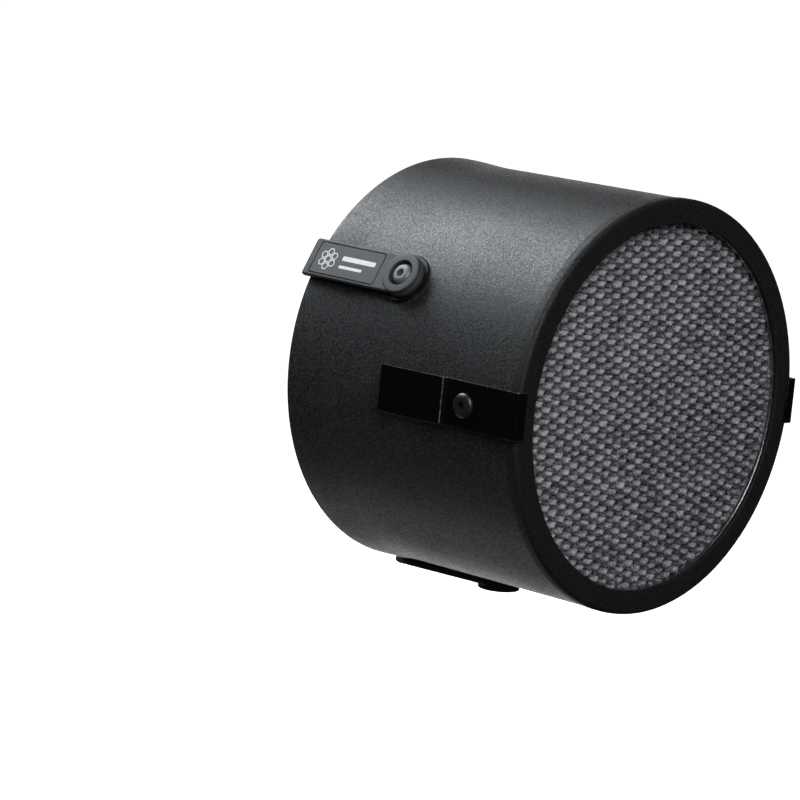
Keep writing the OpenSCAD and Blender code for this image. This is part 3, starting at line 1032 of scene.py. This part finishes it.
def make_mark(name, place, plate_high, length, body):
    """A plain printed mark on the inlay plate: a patch of seven cells and two bars."""
    bottom, top = ARM_TOP - 0.03, ARM_TOP + 0.04
    bm = bmesh.new()
    step = MARK_CELL_R * math.sqrt(3) + MARK_CELL_GAP
    patch_y = plate_high - MARK_FROM_TAIL
    centres = [(0, 0)]
    for k in range(6):
        a = math.radians(60 * k + 30)
        centres.append((step * math.cos(a), step * math.sin(a)))
    for cy, cz in centres:
        outer, inner = [], []
        for k in range(6):
            a = math.radians(60 * k)
            for line, r in ((outer, MARK_CELL_R), (inner, MARK_CELL_R - MARK_LINE_W)):
                line.append((patch_y + cy + r * math.cos(a), cz + r * math.sin(a)))
        ring_prism(bm, outer, inner, bottom, top)
    bar_start = patch_y - MARK_TO_BARS
    for across, bar_len, bar_w in MARK_BARS:
        outline = round_rect(bar_start - bar_len, bar_start, bar_w, bar_w * 0.3)
        bar = prism_bmesh([(y, z + across) for y, z in outline], bottom, top)
        mesh = bpy.data.meshes.new("bar")
        bar.to_mesh(mesh)
        bar.free()
        bm.from_mesh(mesh)
        bpy.data.meshes.remove(mesh)
    lean(bm, length)
    mark = from_bmesh(f"tab_{name}_mark", bm, place)
    dress(mark, "inlay_plate", body)
    mark.data.materials[0] = MARK_PRINT


# ------------------------------------------------------------------------- clips

CLIP_W = 11.7
CLIP_T = 0.5
CLIP_EDGE = 0.15
CLIP_HOLE_R = 1.9
CLIP_HEAD_R = 3.1
CLIP_HEAD_H = 1.3
STRIP_UNDER = sleeve_r + 0.75
STRIP_TOP = STRIP_UNDER + CLIP_T
HOOK_GAP = 0.15
HOOK_LEN = 3.2
JOGGLE_FROM_FRONT = 22.6
JOGGLE_H = 0.9
JOGGLE_LEN = 1.0
TAIL_FROM_FRONT = 43.7
TAIL_RISE = 0.8
# Paint is rubbed off within this length of the joggle's crest, and along the long edges
CREST_REACH, CREST_WEAR, EDGE_WEAR = 0.12, 0.95, 1.08


def clip_stations():
    """Name, angle, joint y and body of each clip."""
    for j in JOINTS:
        if j["name"].endswith("_clip_rock"):
            x, y, z = j["pos_m"]
            yield j["child"].removesuffix("_clip"), math.atan2(z, x), y / MM, j["child"]


def clip_side():
    """Centre line of the strip from the hook's end to the tail, as (height, y)."""
    middle = (STRIP_TOP + STRIP_UNDER) / 2
    face = front_y - HOOK_GAP - CLIP_T / 2
    return [
        (STRIP_TOP - HOOK_LEN, face, 0),
        (middle, face, 0.55),
        (middle, front_y + JOGGLE_FROM_FRONT, 0.5),
        (middle + JOGGLE_H, front_y + JOGGLE_FROM_FRONT + JOGGLE_LEN, 0.5),
        (middle + JOGGLE_H + TAIL_RISE, front_y + TAIL_FROM_FRONT, 0),
    ]


def with_stops(line, margin):
    """A line with an extra point close to each end of its long stretches."""
    points = [line[0]]
    for start, end in zip(line, line[1:]):
        step = end - start
        if step.length > 4 * margin:
            points.append(start + step.normalized() * margin)
            points.append(end - step.normalized() * margin)
        points.append(end)
    return points


def make_clip(name, angle, y, body):
    """A leaf clip: one bent strip with a hook at the front and a screw hole."""
    line = with_stops(rounded(clip_side(), 6), 0.3)
    bm = bmesh.new()
    wear = bm.verts.layers.float.new("wear")
    half_w, half_t, edge = CLIP_W / 2, CLIP_T / 2, CLIP_EDGE
    # The strip's section, as (out of the middle line, across, wear)
    section = [
        (half_t, -half_w + edge, 0), (half_t, half_w - edge, 0),
        (half_t - 0.04, half_w - 0.04, EDGE_WEAR), (half_t - edge, half_w, 0),
        (edge - half_t, half_w, 0), (-half_t, half_w - edge, 0),
        (-half_t, edge - half_w, 0), (edge - half_t, -half_w, 0),
        (half_t - edge, -half_w, 0), (half_t - 0.04, 0.04 - half_w, EDGE_WEAR),
    ]
    joggle_crest = front_y + JOGGLE_FROM_FRONT + JOGGLE_LEN
    loops = []
    for i, p in enumerate(line):
        before = line[max(i - 1, 0)]
        after = line[min(i + 1, len(line) - 1)]
        along = (after - before).normalized()
        normal = Vector((along.y, -along.x))
        turn = 1.0
        if 0 < i < len(line) - 1:
            bend = (p - before).normalized().angle((after - p).normalized())
            turn = 1 / math.cos(bend / 2)
        loop = []
        for out, across, worn in section:
            at = p + normal * (out * turn)
            vert = bm.verts.new((at.x, at.y - y, across))
            on_crest = out > half_t - edge and abs(p.y - joggle_crest) < CREST_REACH
            vert[wear] = CREST_WEAR if on_crest else worn
            loop.append(vert)
        loops.append(loop)
    count = len(section)
    for near, far in zip(loops, loops[1:]):
        for k in range(count):
            m = (k + 1) % count
            bm.faces.new((near[k], near[m], far[m], far[k]))
    bm.faces.new(loops[0])
    bm.faces.new(loops[-1])
    hole = lathe_bmesh(
        [
            (0, STRIP_UNDER - 1), (CLIP_HOLE_R, STRIP_UNDER - 1),
            (CLIP_HOLE_R, STRIP_TOP + 1), (0, STRIP_TOP + 1),
        ],
        48, axis="X",
    )
    bm = cut_or_join(bm, [hole], "DIFFERENCE")
    obj = from_bmesh(f"clip_{name}_leaf", bm, at_station(angle, y), sharp_deg=45)
    even_normals(obj)
    dress(obj, "clip_steel", body, f"clip_{name}")


# --------------------------------------------------------------------- assembly

make_sleeve()
make_front_ring()
make_band()
make_cushion()
make_retainer()
make_stop_pad()
make_lining()
make_honeycomb()

bush_top = BOSS_TOP - HEAD_RECESS_DEPTH + 0.1
pivot_heads = []
for tab_name, tab_angle, tab_y, tab_body in tab_stations():
    make_tab(tab_name, tab_angle, tab_y, tab_body)
    pivot_heads.append(button_head(PIVOT_HEAD_R, PIVOT_HEAD_H, bush_top, tab_angle, tab_y))
dress(joined("pivot_screw_set", pivot_heads), "bright_screw", ROOT, "pivot_screws")

clip_heads = []
for clip_name, clip_angle, clip_y, clip_body in clip_stations():
    make_clip(clip_name, clip_angle, clip_y, clip_body)
    clip_heads.append(
        button_head(CLIP_HEAD_R, CLIP_HEAD_H, STRIP_TOP + 0.3, clip_angle, clip_y)
    )
dress(joined("clip_screw_set", clip_heads), "black_screw", ROOT, "clip_screws")

# CAD nodes that show as they are, and their materials
CAD_MATERIALS = {
    "pivot_bush_left": "bush_steel",
    "pivot_bush_bottom": "bush_steel",
    "pivot_bush_right": "bush_steel",
    "serrated_washer_left": "washer_steel",
    "serrated_washer_bottom": "washer_steel",
    "serrated_washer_right": "washer_steel",
    "clip_spacer_left": "spacer_plastic",
    "clip_spacer_right": "spacer_plastic",
}
for node_name, slot_name in CAD_MATERIALS.items():
    node_mesh = frame["nodes"][node_name].data
    node_mesh.materials.clear()
    node_mesh.materials.append(MATS[slot_name])


# ------------------------------------------------------------------------ stage

FLOOR_SIZE, FLOOR_DROP = 14.0, 0.3


def make_floor():
    """White paper that the camera sees, but that throws no light back on the object."""
    bm = bmesh.new()
    bmesh.ops.create_grid(bm, x_segments=1, y_segments=1, size=FLOOR_SIZE)
    mesh = bpy.data.meshes.new("floor")
    bm.to_mesh(mesh)
    bm.free()
    floor = make_object("floor", mesh)
    floor.location.z = -FLOOR_DROP
    s = Shader(
        "floor_paper", (0.9, 0.9, 0.9), 0.9,
        Emission_Color=(1, 1, 1, 1), Emission_Strength=1.1,
    )
    s.bump((s.noise(400, 2.0), 0.00002))
    mesh.materials.append(s.mat)
    floor.visible_glossy = False
    floor.visible_diffuse = False
    floor.visible_shadow = False


def area_light(name, direction, distance, width, height, radiance, color):
    """A soft panel of a given brightness, in a direction from the object's middle."""
    middle = (Vector(cad_low) + Vector(cad_high)) / 2
    aim = Vector(direction).normalized()
    data = bpy.data.lights.new(name, "AREA")
    data.shape = "RECTANGLE"
    data.size, data.size_y = width, height
    data.energy = radiance * width * height * math.pi
    data.color = color
    light = bpy.data.objects.new(name, data)
    bpy.context.scene.collection.objects.link(light)
    light.location = middle + aim * distance
    light.rotation_mode = "QUATERNION"
    light.rotation_quaternion = aim.to_track_quat("Z", "Y")
    light.visible_camera = False
    return light


NEUTRAL, COOL = (1.0, 1.0, 1.0), (0.9, 0.955, 1.0)
# Name, direction from the object, distance, width, height, radiance and colour
PANELS = (
    ("overhead", (-0.133, 0.677, 0.724), 1.5, 0.74, 0.9, 10.6, COOL),
    ("key", (-0.52, -0.66, 0.53), 1.6, 0.9, 0.9, 6.2, NEUTRAL),
    ("upper_side", (0.276, 0.677, 0.682), 1.5, 0.55, 0.9, 0.6, NEUTRAL),
    ("side", (0.736, 0.677, 0.0), 1.5, 0.55, 0.9, 1.1, NEUTRAL),
    ("low_side", (0.65, 0.677, -0.346), 1.5, 0.55, 0.9, 1.65, NEUTRAL),
    ("low", (0.128, 0.677, -0.725), 1.5, 0.55, 0.9, 0.75, NEUTRAL),
    ("low_left", (-0.25, 0.677, -0.69), 1.5, 0.55, 0.9, 0.2, NEUTRAL),
)
# Brightness of the dim room and of the ceiling
ROOM = 0.02
CEILING, CEILING_SPREAD_DEG = 0.05, 60


def make_lights():
    """The soft panels and a faint wide ceiling."""
    for panel in PANELS:
        area_light(*panel)
    data = bpy.data.lights.new("ceiling", "SUN")
    data.angle = math.radians(CEILING_SPREAD_DEG)
    data.energy = CEILING
    sun = bpy.data.objects.new("ceiling", data)
    bpy.context.scene.collection.objects.link(sun)


def make_world():
    """A dim room for the object, white paper for the camera."""
    world = bpy.data.worlds.new("studio")
    bpy.context.scene.world = world
    world.use_nodes = True
    tree = world.node_tree
    tree.nodes.clear()
    out = tree.nodes.new("ShaderNodeOutputWorld")
    mix = tree.nodes.new("ShaderNodeMixShader")
    path = tree.nodes.new("ShaderNodeLightPath")
    room = tree.nodes.new("ShaderNodeBackground")
    paper = tree.nodes.new("ShaderNodeBackground")
    room.inputs["Color"].default_value = (ROOM, ROOM, ROOM, 1)
    paper.inputs["Color"].default_value = (1, 1, 1, 1)
    tree.links.new(path.outputs["Is Camera Ray"], mix.inputs["Fac"])
    tree.links.new(room.outputs["Background"], mix.inputs[1])
    tree.links.new(paper.outputs["Background"], mix.inputs[2])
    tree.links.new(mix.outputs["Shader"], out.inputs["Surface"])


CAMERA_AT = (-0.6779, -0.6343, 0.1239)
CAMERA_AHEAD = (0.71699, 0.68183, -0.14501)
CAMERA_ROLL_DEG = 5.566
SENSOR_MM, LENS_MM = 36, 159.63
CLIP_END = 60


def make_camera():
    """The camera at the photo's angle, which a fit to the sleeve's outlines gave."""
    data = bpy.data.cameras.new("camera")
    data.sensor_width = SENSOR_MM
    data.lens = LENS_MM
    data.clip_end = CLIP_END
    camera = bpy.data.objects.new("camera", data)
    bpy.context.scene.collection.objects.link(camera)
    camera.location = CAMERA_AT
    ahead = Vector(CAMERA_AHEAD).normalized()
    roll = math.radians(CAMERA_ROLL_DEG)
    level = ahead.cross(Vector((0, 0, 1))).normalized()
    upright = level.cross(ahead)
    right = level * math.cos(roll) + upright * math.sin(roll)
    up = upright * math.cos(roll) - level * math.sin(roll)
    camera.rotation_mode = "QUATERNION"
    camera.rotation_quaternion = Matrix((right, up, -ahead)).transposed().to_quaternion()
    bpy.context.scene.camera = camera


make_floor()
make_world()
make_camera()
make_lights()

bpy.context.scene.view_settings.view_transform = "Standard"
